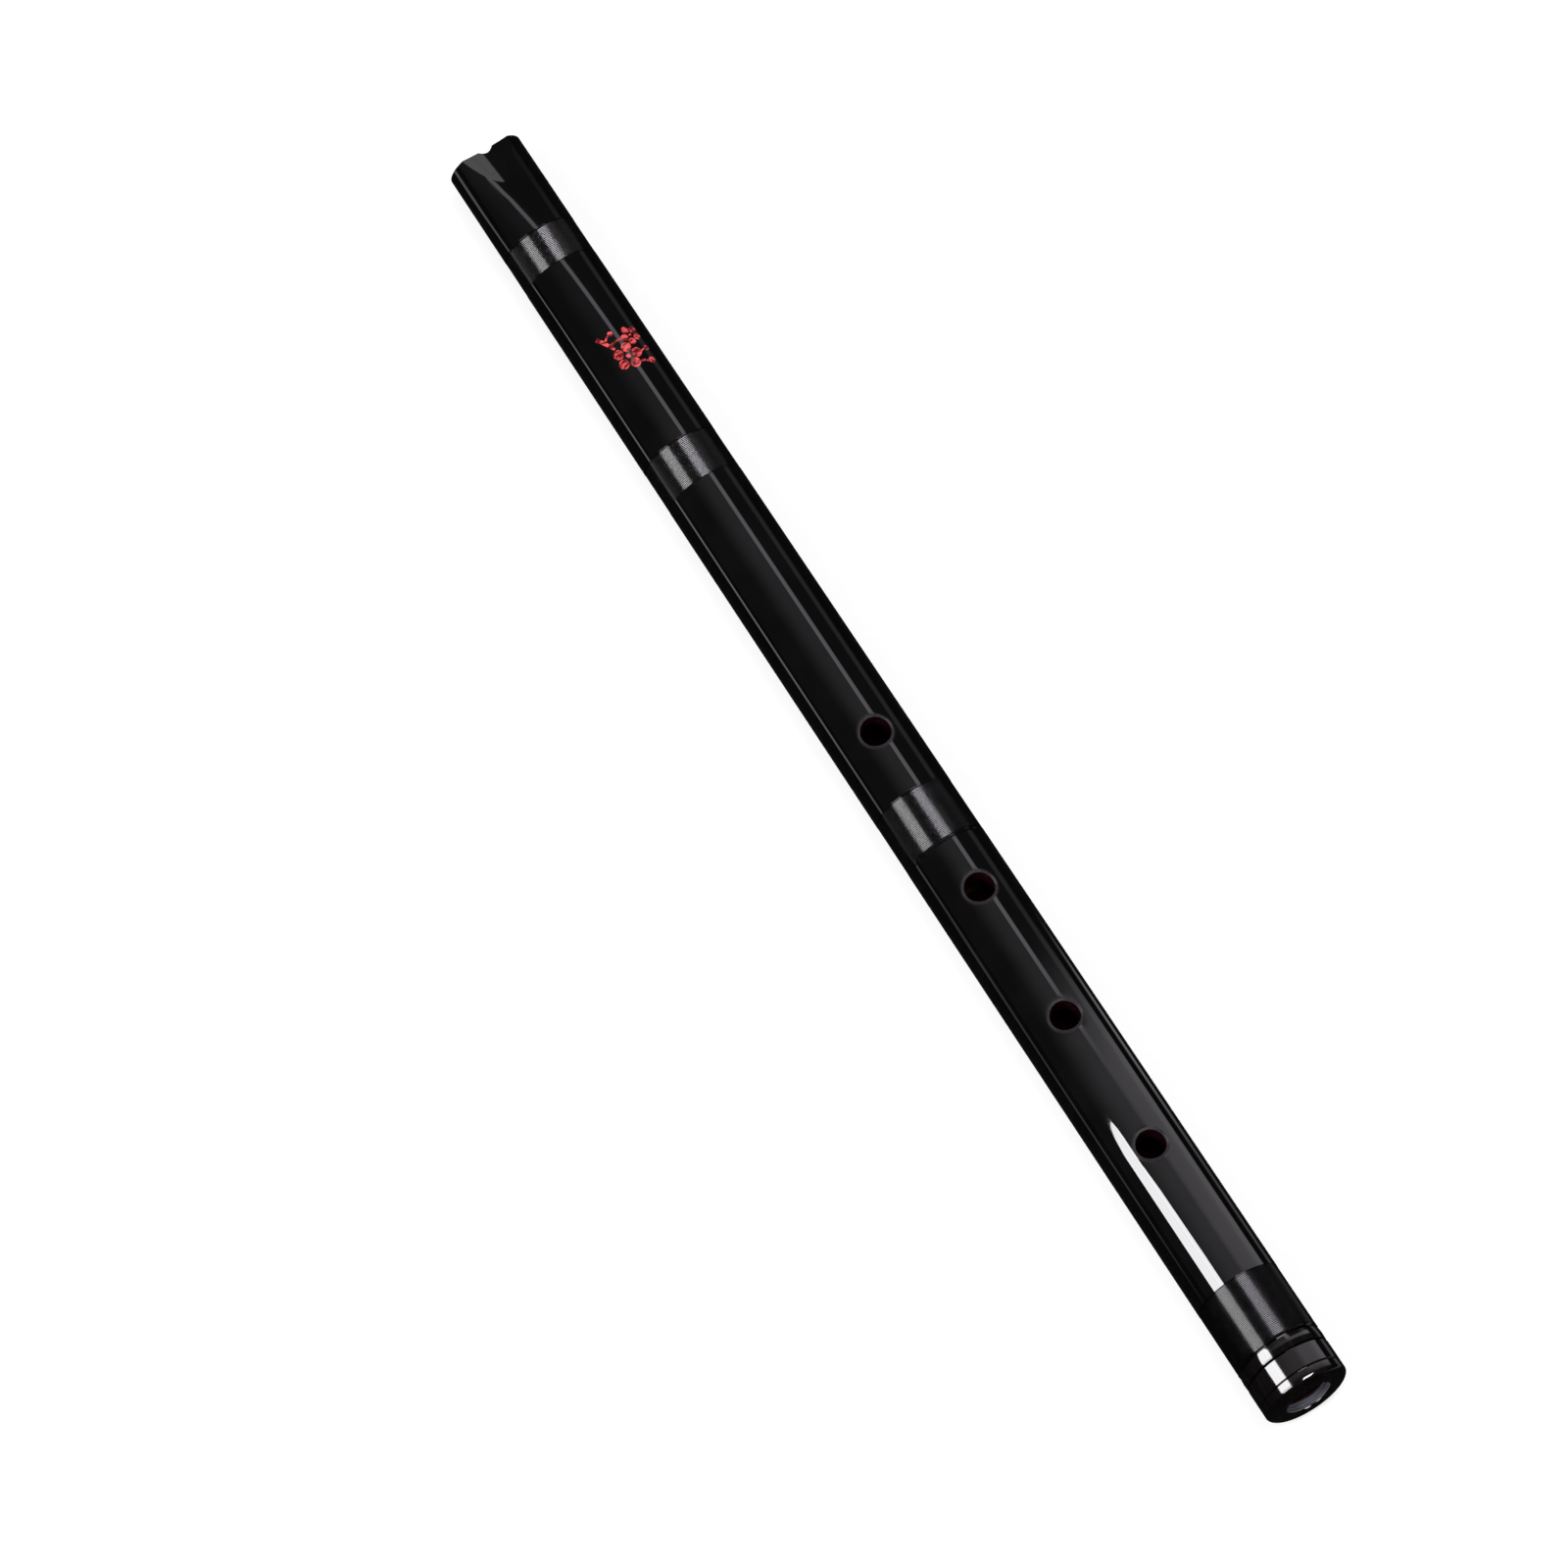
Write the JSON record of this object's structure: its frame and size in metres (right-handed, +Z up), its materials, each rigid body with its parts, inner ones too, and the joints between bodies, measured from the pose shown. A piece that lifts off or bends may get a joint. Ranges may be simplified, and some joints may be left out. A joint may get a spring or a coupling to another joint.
{
  "type": "shakuhachi",
  "caption": "End-blown flute with a scooped blowing edge, finger holes, a thumb hole and wound bindings, that pulls apart and twists at its middle joint.",
  "frame": {"origin": "centre of the footprint on the surface that the flute lies on", "axes": "+X along the flute from the mouth to the foot, +Z up through the front finger holes, +Y across the flute"},
  "size_m": [0.545, 0.0328, 0.0328],
  "materials": {
    "black_lacquer": "black lacquered wood, high gloss",
    "red_lacquer": "dark red lacquered ground, gloss",
    "black_horn": "polished black horn",
    "binding_thread": "fine thread in black lacquer, satin",
    "tenon_lacquer": "red-brown lacquered wood, worn satin"
  },
  "bodies": {
    "upper_half": {"upper_tube": "black_lacquer", "upper_bore_lining": "red_lacquer", "blowing_edge_inlay": "black_horn", "mouth_binding": "binding_thread", "upper_binding": "binding_thread", "joint_binding": "binding_thread", "socket_sleeve": "red_lacquer"},
    "tenon": {"tenon_sleeve": "tenon_lacquer"},
    "lower_half": {"lower_tube": "black_lacquer", "lower_bore_lining": "red_lacquer", "foot_binding": "binding_thread", "foot_bead_ring": "black_horn", "foot_end_ring": "black_horn"}
  },
  "joints": [
    {"name": "pull_apart", "type": "slide", "parent": "upper_half", "child": "tenon", "axis": [1, 0, 0.0044], "range_m": [0, 0.045]},
    {"name": "twist", "type": "hinge", "parent": "tenon", "child": "lower_half", "pos_m": [0.0346, 0, 0.01535], "axis": [1, 0, 0.0044], "continuous": true}
  ]
}
